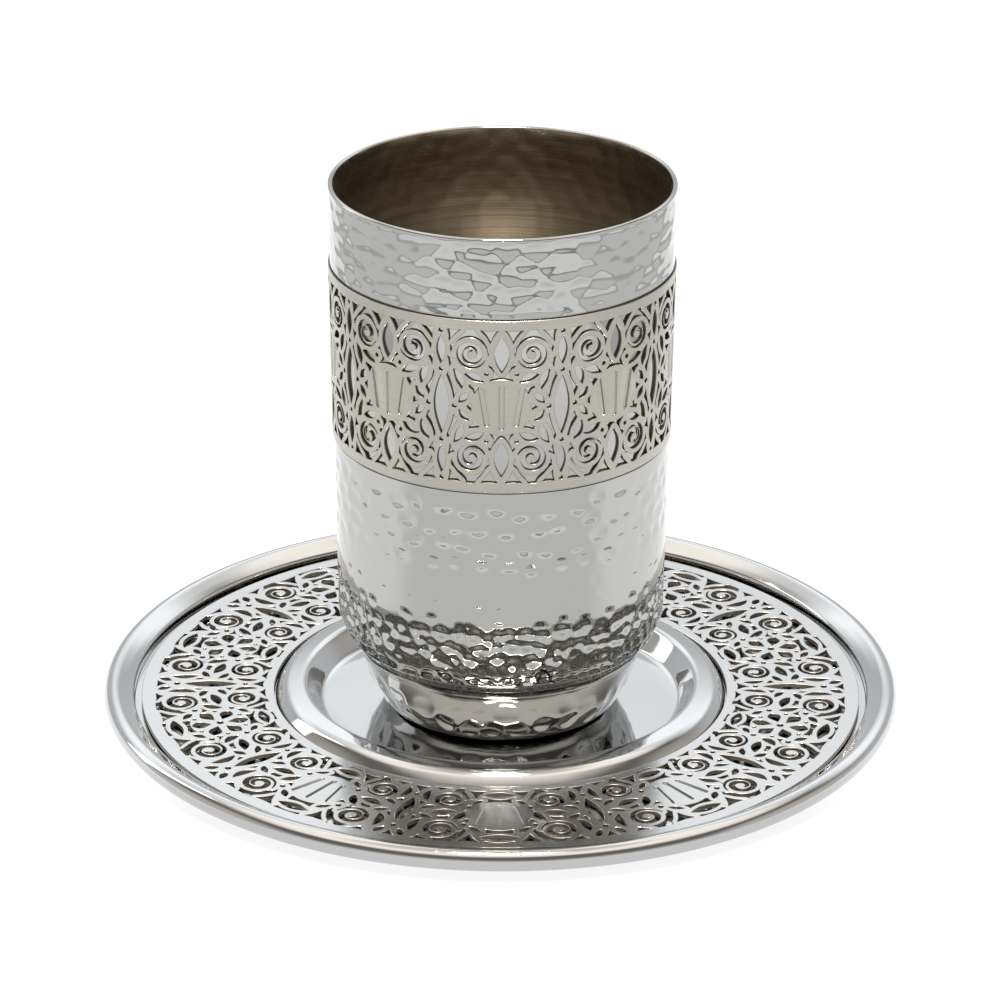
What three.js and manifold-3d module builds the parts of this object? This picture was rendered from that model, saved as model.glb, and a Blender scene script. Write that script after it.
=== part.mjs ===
// A kiddush cup on its saucer, in millimetres, +Z up.
//
// The cup is one deep-drawn steel tumbler with a rounded shoulder and a stepped foot, and a pierced
// sheet sleeve round its upper half. It stands in the well of a pressed saucer, whose channel holds
// a flat pierced ring. The origin is on the axis, on the surface that the saucer stands on.

import * as THREE from 'three';
import { mergeVertices } from 'three/addons/utils/BufferGeometryUtils.js';
import Module from 'manifold-3d';

// Saucer
const SAUCER_RADIUS = 65;
const SAUCER_SHEET = 0.7;
const RIM_TOP = 5;
const RIM_UNDERSIDE = 1.4;
const RIM_CREST_RADIUS = 62.8;
const CHANNEL_OUTER_RADIUS = 59.9;
const CHANNEL_INNER_RADIUS = 36.7;
const BEAD_CREST_RADIUS = 32.8;
const BEAD_TOP = 4;
const WELL_RADIUS = 28.8;
const SAUCER_SIDES = 36;

// Pierced ring in the saucer's channel
const RING_OUTER_RADIUS = 58.7;
const RING_INNER_RADIUS = 37.1;
const RING_SHEET = 0.7;
const RING_TOP = 2.65;
const RING_BORDER = 2.1;
const RING_INNER_BORDER = 1.2;
const RING_BAYS = 10;

// Cup
const CUP_TOP = 90.1;
const LIP_RADIUS = 27.5;
const CUP_WALL = 0.8;
const BODY_FOOT_RADIUS = 26.4;
const BODY_FOOT_HEIGHT = 19.5;
const SHOULDER_RADIUS = 24.5;
const SHOULDER_HEIGHT = 13.7;
const STEP_RADIUS = 23.4;
const STEP_HEIGHT = 11.8;
const FOOT_RADIUS = 18.9;
const CUP_SIDES = 36;

// Pierced sleeve round the cup
const BAND_BOTTOM = 48.3;
const BAND_TOP = 76.9;
const BAND_SHEET = 0.4;
const BAND_PROUD = 0.25;
const BAND_BAYS = 9;

// Gap between pieces that touch, and the strokes in the inscription's place
const REST_GAP = 0.3;
const SLEEVE_GAP = 0.2;
const STROKE_DEPTH = 0.25;
const STROKE_WIDTH = 0.8;
const STROKE_LENGTH = 7.5;
const STROKE_SPACING = 2.7;
const STROKE_LEAN = 0.16;

const wasm = await Module();
wasm.setup();

const polishedSteel = new THREE.MeshStandardMaterial({ color: 0xd4d6d8, metalness: 1, roughness: 0.12 });
const satinSteel = new THREE.MeshStandardMaterial({ color: 0xcbc8bf, metalness: 1, roughness: 0.32 });

// --- solids -------------------------------------------------------------------------------------

function toManifold(geometry) {
  const bare = geometry.clone();
  bare.deleteAttribute('normal');
  bare.deleteAttribute('uv');
  const merged = mergeVertices(bare, 1e-4);
  return new wasm.Manifold(new wasm.Mesh({
    numProp: 3,
    vertProperties: merged.attributes.position.array,
    triVerts: new Uint32Array(merged.index.array),
  }));
}

function toGeometry(manifold) {
  const mesh = manifold.getMesh();
  const geometry = new THREE.BufferGeometry();
  geometry.setAttribute('position', new THREE.BufferAttribute(mesh.vertProperties, 3));
  geometry.setIndex(new THREE.BufferAttribute(mesh.triVerts, 1));
  geometry.computeVertexNormals();
  return geometry;
}

// Turns a section of [radius, height] points round the Z axis. The section runs anticlockwise as
// seen with the axis on its left, and starts and ends on the axis or closes on itself.
function turned(section, sides, firstEdge = 0) {
  const points = section.map(([radius, height]) => new THREE.Vector2(radius, height));
  return new THREE.LatheGeometry(points, sides, firstEdge).rotateX(Math.PI / 2);
}

// A pyramid on an outline that faces +Z, with its apex at a depth below it.
function pyramid(outline, depth) {
  const points = outline.map(([x, y]) => new THREE.Vector2(x, y));
  const position = [...points.flatMap(({ x, y }) => [x, y, 0]), 0, 0, -depth];
  const apex = points.length;
  const index = THREE.ShapeUtils.triangulateShape(points, []).flat();
  for (let corner = 0; corner < points.length; corner += 1) {
    index.push((corner + 1) % points.length, corner, apex);
  }
  const geometry = new THREE.BufferGeometry();
  geometry.setAttribute('position', new THREE.Float32BufferAttribute(position, 3));
  return geometry.setIndex(index);
}

function cutAll(blank, cutters) {
  const solid = cutters.reduce((left, cutter) => left.subtract(toManifold(cutter)), toManifold(blank));
  return toGeometry(solid);
}

// --- outlines of the cut-outs, each round its own centre ------------------------------------------

// A leaf with pointed ends, along X, widest at its middle or, as a petal, towards its outer end.
const leaf = (length, width, widest = 0) => [
  [-length / 2, 0], [widest * length, -width / 2], [length / 2, 0], [widest * length, width / 2],
];

// A straight stroke, along X.
const bar = (length, width) => [
  [-length / 2, -width / 2], [length / 2, -width / 2], [length / 2, width / 2], [-length / 2, width / 2],
];

// A shallow V-cut in a face that faces +Z, in the inscription's place. The strokes of a group stand
// side by side, lean apart and aren't letters.
function stroke(place) {
  const outline = bar(2 * (STROKE_LENGTH - Math.abs(place)), 2 * STROKE_WIDTH);
  const cut = pyramid(spun(outline, Math.PI / 2 - place * STROKE_LEAN), 2 * STROKE_DEPTH);
  return cut.translate(0, 0, STROKE_DEPTH);
}

// A scroll's gap: a crescent round the scroll's eye, opening towards +X, pointed at both ends.
function scroll(radius, width, hand) {
  const steps = 4;
  const sweep = THREE.MathUtils.degToRad(250);
  const rim = [];
  const eye = [];
  for (let step = 0; step <= steps; step += 1) {
    const share = step / steps;
    const angle = hand * (share - 0.5) * sweep + Math.PI;
    rim.push([radius * Math.cos(angle), radius * Math.sin(angle)]);
    if (step > 0 && step < steps) {
      const inner = radius - width * Math.sin(Math.PI * share);
      eye.unshift([inner * Math.cos(angle), inner * Math.sin(angle)]);
    }
  }
  const outline = [...rim, ...eye];
  return hand > 0 ? outline : outline.reverse();
}

function spun(outline, angle) {
  const [cos, sin] = [Math.cos(angle), Math.sin(angle)];
  return outline.map(([x, y]) => [x * cos - y * sin, x * sin + y * cos]);
}

// --- the pierced ring -----------------------------------------------------------------------------

// Puts an outline on the ring: its X runs round the ring, its Y runs outwards.
function onRing(outline, angle, radius) {
  return outline.map(([x, y]) => {
    const turn = angle + x / radius;
    return [(radius + y) * Math.sin(turn), -(radius + y) * Math.cos(turn)];
  });
}

// One bay of the ring: a rosette or a group of strokes between four scrolls and their leaves.
const FIELD_MIDDLE = (RING_OUTER_RADIUS - RING_BORDER + RING_INNER_RADIUS + RING_INNER_BORDER) / 2;

function ringBayOpenings(middle, inscribed) {
  const openings = [];
  const add = (outline, turn, radius) => openings.push(onRing(outline, middle + turn, radius));
  const deg = THREE.MathUtils.degToRad;
  for (const side of [-1, 1]) {
    add(spun(scroll(3.3, 2, side), deg(side < 0 ? 50 : 130)), side * deg(10.2), FIELD_MIDDLE + 4.9);
    add(spun(scroll(2.9, 1.8, -side), deg(side < 0 ? -50 : 230)), side * deg(10.8), FIELD_MIDDLE - 5.1);
  }
  add(spun(leaf(9, 2.4), Math.PI / 2), Math.PI / RING_BAYS, FIELD_MIDDLE);
  add(leaf(6, 2), 0, FIELD_MIDDLE + 7.2);
  add(leaf(4.8, 1.8), 0, FIELD_MIDDLE - 7.3);
  if (!inscribed) {
    for (let index = 0; index < 6; index += 1) {
      const spin = (index * Math.PI) / 3 + Math.PI / 6;
      const outline = leaf(3.4, 2.2, 0.15).map(([x, y]) => [x + 3, y]);
      add(spun(outline, spin), 0, FIELD_MIDDLE);
    }
  }
  return openings;
}

function buildRing() {
  const sides = SAUCER_SIDES;
  const circle = (radius) => Array.from({ length: sides }, (_, index) => {
    const turn = (index / sides) * 2 * Math.PI;
    return new THREE.Vector2(radius * Math.sin(turn), -radius * Math.cos(turn));
  });
  const shape = new THREE.Shape(circle(RING_OUTER_RADIUS));
  shape.holes.push(new THREE.Path(circle(RING_INNER_RADIUS)));
  const strokes = [];
  for (let bay = 0; bay < RING_BAYS; bay += 1) {
    const middle = (bay / RING_BAYS) * 2 * Math.PI;
    const inscribed = bay <= 1 || bay === RING_BAYS - 1;
    for (const outline of ringBayOpenings(middle, inscribed)) {
      shape.holes.push(new THREE.Path(outline.map(([x, y]) => new THREE.Vector2(x, y))));
    }
    if (inscribed) {
      strokes.push(...ringStrokes(middle));
    }
  }
  const blank = new THREE.ExtrudeGeometry(shape, { depth: RING_SHEET, bevelEnabled: false });
  blank.translate(0, 0, RING_TOP - RING_SHEET);
  return cutAll(blank, strokes);
}

function ringStrokes(middle) {
  return [-1, 0, 1].map((place) => {
    const cut = stroke(place).translate(0, FIELD_MIDDLE, RING_TOP);
    return cut.rotateZ(middle + Math.PI - (place * STROKE_SPACING) / FIELD_MIDDLE);
  });
}

// --- the pierced sleeve -----------------------------------------------------------------------------

// The cup's outer radius at a height on its straight body.
function bodyRadius(height) {
  const share = (height - BODY_FOOT_HEIGHT) / (CUP_TOP - BODY_FOOT_HEIGHT);
  return THREE.MathUtils.lerp(BODY_FOOT_RADIUS, LIP_RADIUS, share);
}

// Stands a cutter at the sleeve: its X runs round the cup, its Y runs up, its Z points outwards.
function atSleeve(geometry, angle, height, radius) {
  geometry.rotateX(Math.PI / 2);
  geometry.translate(0, -radius, height);
  return geometry.rotateZ(angle);
}

const BAND_MIDDLE = (BAND_BOTTOM + BAND_TOP) / 2;

function sleeveBayCutters(middle, inscribed) {
  const cutters = [];
  const deg = THREE.MathUtils.degToRad;
  const through = (outline, turn, height) => {
    const radius = bodyRadius(height) + BAND_PROUD;
    const clear = 1.05;
    const spread = outline.map(([x, y]) => [x * clear, y * clear]);
    cutters.push(atSleeve(pyramid(spread, radius * clear), middle + turn, height, radius * clear));
  };
  for (const side of [-1, 1]) {
    through(spun(scroll(2.3, 1.6, side), deg(side < 0 ? 50 : 130)), side * deg(10), BAND_MIDDLE + 8.6);
    through(spun(scroll(2.3, 1.6, -side), deg(side < 0 ? -50 : 230)), side * deg(10), BAND_MIDDLE - 8.6);
  }
  through(spun(leaf(6, 2.4), Math.PI / 2), 0, BAND_MIDDLE + 8.8);
  through(spun(leaf(6, 2.4), Math.PI / 2), 0, BAND_MIDDLE - 8.8);
  through(spun(leaf(10, 2.6), Math.PI / 2), Math.PI / BAND_BAYS, BAND_MIDDLE);
  if (inscribed) {
    const radius = bodyRadius(BAND_MIDDLE) + BAND_PROUD;
    for (const place of [-1, 0, 1]) {
      const turn = (place * STROKE_SPACING) / radius;
      cutters.push(atSleeve(stroke(place), middle + turn, BAND_MIDDLE, radius));
    }
  } else {
    for (let index = 0; index < 6; index += 1) {
      const outline = leaf(3.2, 2.1, 0.15).map(([x, y]) => [x + 2.8, y]);
      through(spun(outline, (index * Math.PI) / 3), 0, BAND_MIDDLE);
    }
  }
  return cutters;
}

function buildBand() {
  const outerAt = (height) => bodyRadius(height) + BAND_PROUD;
  const blank = turned([
    [outerAt(BAND_BOTTOM) - BAND_SHEET, BAND_BOTTOM],
    [outerAt(BAND_BOTTOM), BAND_BOTTOM],
    [outerAt(BAND_TOP), BAND_TOP],
    [outerAt(BAND_TOP) - BAND_SHEET, BAND_TOP],
    [outerAt(BAND_BOTTOM) - BAND_SHEET, BAND_BOTTOM],
  ], CUP_SIDES, Math.PI / CUP_SIDES);
  const cutters = [];
  for (let bay = 0; bay < BAND_BAYS; bay += 1) {
    const inscribed = bay <= 2 || bay >= BAND_BAYS - 2;
    cutters.push(...sleeveBayCutters((bay / BAND_BAYS) * 2 * Math.PI, inscribed));
  }
  return cutAll(blank, cutters);
}

// --- the cup ------------------------------------------------------------------------------------------

function buildCup() {
  const floor = SAUCER_SHEET + REST_GAP;
  const seat = BAND_SHEET + SLEEVE_GAP - BAND_PROUD;
  const [low, high] = [BAND_BOTTOM - REST_GAP, BAND_TOP + REST_GAP];
  const inner = (height) => bodyRadius(height) - CUP_WALL;
  return turned([
    [0, floor],
    [FOOT_RADIUS - 1, floor],
    [FOOT_RADIUS + 0.4, floor + 1],
    [FOOT_RADIUS + 2.7, floor + 5.2],
    [STEP_RADIUS, STEP_HEIGHT],
    [STEP_RADIUS - 0.1, STEP_HEIGHT + 1.1],
    [SHOULDER_RADIUS, SHOULDER_HEIGHT],
    [BODY_FOOT_RADIUS - 0.5, SHOULDER_HEIGHT + 2],
    [BODY_FOOT_RADIUS, BODY_FOOT_HEIGHT],
    [bodyRadius(low), low],
    [bodyRadius(low) - seat, low],
    [bodyRadius(high) - seat, high],
    [bodyRadius(high), high],
    [LIP_RADIUS, CUP_TOP - 0.2],
    [LIP_RADIUS - 0.2, CUP_TOP],
    [LIP_RADIUS - CUP_WALL + 0.2, CUP_TOP],
    [inner(CUP_TOP), CUP_TOP - 0.2],
    [inner(BODY_FOOT_HEIGHT), BODY_FOOT_HEIGHT],
    [BODY_FOOT_RADIUS - 1.3, SHOULDER_HEIGHT + 2.5],
    [SHOULDER_RADIUS - 0.9, SHOULDER_HEIGHT + 0.7],
    [STEP_RADIUS - 0.8, STEP_HEIGHT + 0.1],
    [FOOT_RADIUS - 0.3, floor + 1.6],
    [FOOT_RADIUS - 1.4, floor + CUP_WALL],
    [0, floor + CUP_WALL],
  ], CUP_SIDES, Math.PI / CUP_SIDES);
}

// --- the saucer -----------------------------------------------------------------------------------------

function buildSaucer() {
  const channelFloor = RING_TOP - RING_SHEET - REST_GAP;
  const rimEdge = RING_TOP + 0.7;
  return turned([
    [0, 0],
    [WELL_RADIUS + 0.2, 0],
    [WELL_RADIUS + 1.5, 0.6],
    [BEAD_CREST_RADIUS, BEAD_TOP - SAUCER_SHEET],
    [CHANNEL_INNER_RADIUS - 0.6, channelFloor - SAUCER_SHEET],
    [CHANNEL_OUTER_RADIUS + 0.6, channelFloor - SAUCER_SHEET],
    [CHANNEL_OUTER_RADIUS + 0.8, rimEdge - 0.4],
    [RIM_CREST_RADIUS - 0.9, RIM_TOP - SAUCER_SHEET - 0.3],
    [RIM_CREST_RADIUS, RIM_TOP - SAUCER_SHEET],
    [SAUCER_RADIUS - SAUCER_SHEET, RIM_TOP - 1.7],
    [RIM_CREST_RADIUS + 0.3, RIM_UNDERSIDE + SAUCER_SHEET],
    [RIM_CREST_RADIUS + 0.3, RIM_UNDERSIDE],
    [SAUCER_RADIUS - 0.6, RIM_UNDERSIDE + 0.5],
    [SAUCER_RADIUS, RIM_TOP - 1.7],
    [SAUCER_RADIUS - 0.7, RIM_TOP - 0.4],
    [RIM_CREST_RADIUS, RIM_TOP],
    [RIM_CREST_RADIUS - 1.3, RIM_TOP - 0.4],
    [CHANNEL_OUTER_RADIUS, rimEdge],
    [CHANNEL_OUTER_RADIUS, channelFloor],
    [CHANNEL_INNER_RADIUS, channelFloor],
    [CHANNEL_INNER_RADIUS - 0.1, RING_TOP - 0.3],
    [BEAD_CREST_RADIUS + 1.9, BEAD_TOP - 0.4],
    [BEAD_CREST_RADIUS, BEAD_TOP],
    [BEAD_CREST_RADIUS - 1.3, BEAD_TOP - 0.8],
    [WELL_RADIUS + 1, SAUCER_SHEET + 0.5],
    [WELL_RADIUS, SAUCER_SHEET],
    [0, SAUCER_SHEET],
  ], SAUCER_SIDES);
}

// --- assembly -------------------------------------------------------------------------------------------

function piece(name, geometry, material) {
  const mesh = new THREE.Mesh(geometry, material);
  mesh.name = name;
  return mesh;
}

const kiddushCup = new THREE.Group();
kiddushCup.add(
  piece('saucer', buildSaucer(), polishedSteel),
  piece('saucer_ring', buildRing(), satinSteel),
  piece('cup', buildCup(), polishedSteel),
  piece('cup_band', buildBand(), satinSteel),
);

export default kiddushCup;
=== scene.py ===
import math
import bpy
import numpy as np
from mathutils import Matrix, Vector
from mathutils.kdtree import KDTree


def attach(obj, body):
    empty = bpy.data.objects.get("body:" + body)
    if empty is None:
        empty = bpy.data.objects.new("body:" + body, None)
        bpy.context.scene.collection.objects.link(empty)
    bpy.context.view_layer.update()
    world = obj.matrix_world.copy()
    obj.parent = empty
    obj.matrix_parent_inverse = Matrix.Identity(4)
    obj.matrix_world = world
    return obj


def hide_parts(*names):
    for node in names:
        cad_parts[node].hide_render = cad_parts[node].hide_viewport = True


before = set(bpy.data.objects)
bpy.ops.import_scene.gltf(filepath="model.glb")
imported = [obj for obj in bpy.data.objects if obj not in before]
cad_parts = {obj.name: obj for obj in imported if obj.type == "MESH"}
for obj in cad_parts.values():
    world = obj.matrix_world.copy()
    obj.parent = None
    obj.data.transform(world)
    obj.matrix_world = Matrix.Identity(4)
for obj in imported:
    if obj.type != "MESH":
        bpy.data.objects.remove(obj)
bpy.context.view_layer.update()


# --- Camera, floor and lights -------------------------------------------------------------------
# The set stands on a pale, glowing table inside a light tent of cloth, under one softbox and
# beside another. The cloth is brightest behind the set and overhead, and dims towards the front.
# The table glows evenly but for painted shade close in front of the set. Past its front and side
# edges the table ends in a dark band of painted shade, so that the polished steel has an edge
# to mirror.

MM = 0.001
scene = bpy.context.scene
scene.view_settings.view_transform = "Standard"


class Wire:
    """A value in a node tree. Arithmetic on it adds the maths nodes."""

    def __init__(self, tree, socket):
        self.tree, self.socket = tree, socket

    def maths(self, operation, *others):
        return put(self.tree, "ShaderNodeMath", dict(enumerate((self, *others))), operation=operation)[0]

    def __add__(self, other):
        return self.maths("ADD", other)

    def __sub__(self, other):
        return self.maths("SUBTRACT", other)

    def __mul__(self, other):
        return self.maths("MULTIPLY", other)

    def __truediv__(self, other):
        return self.maths("DIVIDE", other)

    __radd__, __rmul__ = __add__, __mul__

    def parts(self):
        return put(self.tree, "ShaderNodeSeparateXYZ", {0: self})


def put(tree, kind, feeds=(), **settings):
    """Adds a node, feeds its inputs by name or number, and returns its outputs."""
    node = tree.nodes.new(kind)
    for name, value in settings.items():
        setattr(node, name, value)
    for key, value in dict(feeds).items():
        usable = [s for s in node.inputs if s.enabled]
        socket = usable[key] if isinstance(key, int) else next(s for s in usable if s.name == key)
        for one in value if isinstance(value, list) else [value]:
            if isinstance(one, Wire):
                tree.links.new(one.socket, socket)
            else:
                socket.default_value = one
    return [Wire(tree, s) for s in node.outputs if s.enabled]


def vector(tree, x, y, z):
    return put(tree, "ShaderNodeCombineXYZ", {0: x, 1: y, 2: z})[0]


def eased(tree, value, low, high, start=0.0, end=1.0):
    """Maps a value's range from low to high onto start to end, softly at both ends."""
    return put(tree, "ShaderNodeMapRange", {"Value": value, 1: low, 2: high, 3: start, 4: end},
               interpolation_type="SMOOTHSTEP")[0]


def blended(tree, share, first, second):
    """Mixes two colours, each a tuple or a wire."""
    feeds = {"Factor": share}
    for label, tone in (("A", first), ("B", second)):
        feeds[label] = (*tone, 1) if isinstance(tone, tuple) else tone
    return put(tree, "ShaderNodeMix", feeds, data_type="RGBA")[0]


# The cloth's radiance. Heights are sines of the angle above the table.
LOW_CLOTH_END = 0.34
FRONT_CLOTH_AT_TABLE, FRONT_CLOTH_ABOVE = 0.80, 0.22
SIDE_CLOTH = 0.75
BACK_CLOTH_LOW, BACK_CLOTH_HIGH, BACK_CLOTH_FADE = 0.75, 1.75, 0.3
ROOF_CLOTH, ROOF_MIDDLE_SHARE = 1.45, 0.5
FOLD_DEPTH = 0.16
WHITE_CLOTH, WARM_CLOTH, COOL_CLOTH = (1.0, 0.99, 0.97), (1.0, 0.93, 0.84), (0.97, 0.99, 1.0)

tent = bpy.data.worlds.new("light_tent")
tent.use_nodes = True
tree = tent.node_tree
x, y, z = Wire(tree, tree.nodes.new("ShaderNodeTexCoord").outputs["Generated"]).parts()
creased = vector(tree, x * 1.6, y * 1.6, z * 3.5)
folds = put(tree, "ShaderNodeTexNoise", {"Vector": creased, "Scale": 1.0, "Detail": 2.0})[0]
z = z + (folds - 0.5) * FOLD_DEPTH
behind = eased(tree, y, 0.25, 0.70)
beside = eased(tree, x.maths("ABSOLUTE"), 0.78, 0.95)
low_cloth = eased(tree, z, 0.08, LOW_CLOTH_END, FRONT_CLOTH_AT_TABLE, FRONT_CLOTH_ABOVE)
low_cloth = low_cloth + beside * (SIDE_CLOTH + low_cloth * -1.0)
back_cloth = eased(tree, z, 0.30, 0.55, BACK_CLOTH_LOW, BACK_CLOTH_HIGH)
back_cloth = back_cloth * eased(tree, z, 0.56, 0.78, 1.0, BACK_CLOTH_FADE)
roof = eased(tree, z, 0.62, 0.86, 0.0, ROOF_CLOTH) * eased(tree, z, 0.90, 0.98, 1.0, ROOF_MIDDLE_SHARE)
cloth = low_cloth + behind * (back_cloth - low_cloth) + roof
low_tone = blended(tree, eased(tree, z, 0.08, LOW_CLOTH_END), WHITE_CLOTH, WARM_CLOTH)
tone = blended(tree, behind, low_tone, COOL_CLOTH)
backdrop = tree.nodes["Background"]
tree.links.new(tone.socket, backdrop.inputs["Color"])
tree.links.new(cloth.socket, backdrop.inputs["Strength"])
scene.world = tent


def lit_by(name, place, aim, width, height, radiance, tone):
    """A rectangular softbox of an even radiance."""
    lamp = bpy.data.lights.new(name, "AREA")
    lamp.shape = "RECTANGLE"
    lamp.size, lamp.size_y = width, height
    lamp.energy = radiance * math.pi * width * height
    lamp.color = tone
    box = bpy.data.objects.new(name, lamp)
    scene.collection.objects.link(box)
    towards = Vector(aim) - Vector(place)
    box.matrix_world = Matrix.Translation(place) @ towards.to_track_quat("-Z", "Y").to_matrix().to_4x4()


lit_by("overhead_softbox", (0, -0.25, 1.10), (0, 0, 0.08), 0.26, 0.22, 80.0, (1.0, 0.94, 0.85))
lit_by("left_strip", (-1.0, 0.55, 0.60), (0, 0, 0.05), 0.25, 0.9, 2.0, (0.97, 0.99, 1.0))

# Painted shade: the table glows a little less close in front of the set than farther off, and just
# past its edges lies a dark band, darkest at the front, that stands for the table edge's shadow.
FLOOR_HALF = 4.0
TABLE_HALF_WIDTH, TABLE_FRONT = 0.172, 0.232
# Close in front of the set the table lacks FARTHER_GLOW, as painted shade; the two edge glows set the
# painted dark band past its edges.
TABLE_GLOW, FARTHER_GLOW = 0.90, 0.26
FRONT_EDGE_SHADE_GLOW, SIDE_EDGE_SHADE_GLOW, BEYOND_GLOW = 0.30, 0.66, 0.96
TABLE_TONE, BEYOND_TONE = (0.07, 0.07, 0.07), (0.04, 0.04, 0.04)

floor_mesh = bpy.data.meshes.new("floor")
corners = [(x * FLOOR_HALF, y * FLOOR_HALF, 0) for x, y in ((-1, -1), (1, -1), (1, 1), (-1, 1))]
floor_mesh.from_pydata(corners, [], [(0, 1, 2, 3)])
floor = bpy.data.objects.new("floor", floor_mesh)
scene.collection.objects.link(floor)
table = bpy.data.materials.new("glowing_table")
table.use_nodes = True
tree = table.node_tree
paper = tree.nodes["Principled BSDF"]
paper.inputs["Roughness"].default_value = 0.9
paper.inputs["Specular IOR Level"].default_value = 0.0
paper.inputs["Emission Color"].default_value = (1, 1, 1, 1)
x, y, z = Wire(tree, tree.nodes.new("ShaderNodeTexCoord").outputs["Object"]).parts()
sideways = x.maths("ABSOLUTE")
reach = (x * x + y * y).maths("SQRT")
past_edge = sideways.maths("SUBTRACT", TABLE_HALF_WIDTH).maths("MAXIMUM", y * -1.0 - TABLE_FRONT)
# Painted shade: close in front of the set the table lacks the farther glow.
farther = eased(tree, sideways + y * 1.88, -0.04, 0.04).maths("MAXIMUM", eased(tree, reach, 0.13, 0.20))
table_glow = farther * FARTHER_GLOW + TABLE_GLOW
# Painted shade: a dark band just past the table's edges, darker at the front than at the sides.
edge_shade = eased(tree, y * -1.0, 0.18, 0.23, SIDE_EDGE_SHADE_GLOW, FRONT_EDGE_SHADE_GLOW)
beyond = edge_shade + eased(tree, past_edge, 0.012, 0.05) * (BEYOND_GLOW + edge_shade * -1.0)
off_table = eased(tree, past_edge, -0.004, 0.008)
glow = table_glow + off_table * (beyond - table_glow)
tree.links.new(glow.socket, paper.inputs["Emission Strength"])
tree.links.new(blended(tree, off_table, TABLE_TONE, BEYOND_TONE).socket, paper.inputs["Base Color"])
floor_mesh.materials.append(table)

CAMERA_PLACE = (0.488, -694.30, 330.88)
CAMERA_DOWN, CAMERA_TURN, CAMERA_ROLL = 0.40208, 0.001, 0.00446
lens = bpy.data.cameras.new("camera")
lens.lens, lens.sensor_width = 168.35, 36
lens.clip_start, lens.clip_end = 0.05, 20
camera = bpy.data.objects.new("camera", lens)
scene.collection.objects.link(camera)
camera.matrix_world = (
    Matrix.Translation([c * MM for c in CAMERA_PLACE])
    @ Matrix.Rotation(CAMERA_TURN, 4, "Z")
    @ Matrix.Rotation(math.pi / 2 - CAMERA_DOWN, 4, "X")
    @ Matrix.Rotation(CAMERA_ROLL, 4, "Z"))
scene.camera = camera


# --- Saucer -------------------------------------------------------------------------------------
# One round dish pressed from 0.7 mm stainless sheet and polished to a mirror: a flat well, a raised
# bead round it, a shallow channel, and a rim rolled over and curled under. It stands on the well.

SAUCER_SHEET = 0.7
SAUCER_SIDES, SAUCER_STEP = 264, 0.55
WELL_RADIUS, WELL_TOP = 29.3, 0.7
CHANNEL_INNER, CHANNEL_OUTER, CHANNEL_TOP = 36.8, 59.85, 1.65
ROLL_START, ROLL_RADIUS, ROLL_HEIGHT, ROLL = 61.6, 63.0, 3.18, 1.82


def rounded(corners, step):
    """A section line through corners (radius, height, rounding), with points about a step apart.
    A corner may name another step for the stretch that leads to it."""
    line = [corners[0][:2]]

    def run_to(point, pace):
        r0, z0 = line[-1]
        length = math.dist((r0, z0), point)
        count = max(1, round(length / pace))
        for i in range(1, count + 1):
            line.append((r0 + (point[0] - r0) * i / count, z0 + (point[1] - z0) * i / count))

    for before, corner, after in zip(corners, corners[1:], corners[2:]):
        pace = corner[3] if len(corner) > 3 else step
        r, z, rounding = corner[:3]
        a0 = math.atan2(z - before[1], r - before[0])
        a1 = math.atan2(after[1] - z, after[0] - r)
        turn = (a1 - a0 + math.pi) % (2 * math.pi) - math.pi
        if rounding <= 0 or abs(turn) < 1e-3:
            run_to((r, z), pace)
            continue
        tangent = rounding * math.tan(abs(turn) / 2)
        run_to((r - tangent * math.cos(a0), z - tangent * math.sin(a0)), pace)
        side = math.copysign(1, turn)
        cr = line[-1][0] - side * rounding * math.sin(a0)
        cz = line[-1][1] + side * rounding * math.cos(a0)
        count = max(2, round(abs(turn) / 0.16), round(abs(turn) * rounding / step))
        for i in range(1, count + 1):
            a = a0 + turn * i / count
            line.append((cr + side * rounding * math.sin(a), cz - side * rounding * math.cos(a)))
    run_to(corners[-1][:2], corners[-1][3] if len(corners[-1]) > 3 else step)
    return line


def left_of(line):
    """The unit vector to the left of a line at each of its points."""
    out = []
    for i in range(len(line)):
        r0, z0 = line[max(i - 1, 0)]
        r1, z1 = line[min(i + 1, len(line) - 1)]
        length = math.dist((r0, z0), (r1, z1))
        out.append((-(z1 - z0) / length, (r1 - r0) / length))
    return out


def new_tree(name, sizes):
    """A geometry tree with named sizes. Returns the tree and a wire for each of its inputs."""
    tree = bpy.data.node_groups.new(name, "GeometryNodeTree")
    tree.interface.new_socket("Geometry", in_out="INPUT", socket_type="NodeSocketGeometry")
    for label, start in sizes.items():
        kind = "Material" if start is None else "Int" if isinstance(start, int) else "Float"
        socket = tree.interface.new_socket(label, in_out="INPUT", socket_type="NodeSocket" + kind)
        if start is not None:
            socket.default_value = start
    tree.interface.new_socket("Geometry", in_out="OUTPUT", socket_type="NodeSocketGeometry")
    entry = tree.nodes.new("NodeGroupInput")
    return tree, {s.name: Wire(tree, s) for s in entry.outputs if s.name}


def close_tree(tree, geometry, material):
    """Ends a tree with real geometry and its material."""
    real = put(tree, "GeometryNodeRealizeInstances", {0: geometry})[0]
    done = put(tree, "GeometryNodeSetMaterial", {"Geometry": real, "Material": material})[0]
    tree.links.new(done.socket, tree.nodes.new("NodeGroupOutput").inputs[0])


def in_a_row(points):
    return [(i, i + 1) for i in range(len(points) - 1)]


def drawn(name, points, edges, notes=()):
    """A mesh object of points in millimetres, with a note of each kind kept on every point."""
    mesh = bpy.data.meshes.new(name)
    mesh.from_pydata([(x * MM, y * MM, z * MM) for x, y, z in points], edges, [])
    for label, values in dict(notes).items():
        kind = "FLOAT_VECTOR" if isinstance(values[0], tuple) else "FLOAT"
        field = mesh.attributes.new(label, kind, "POINT")
        field.data.foreach_set("vector" if kind == "FLOAT_VECTOR" else "value",
                               [c for v in values for c in v] if kind == "FLOAT_VECTOR" else values)
    piece = bpy.data.objects.new(name, mesh)
    scene.collection.objects.link(piece)
    return piece


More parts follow.
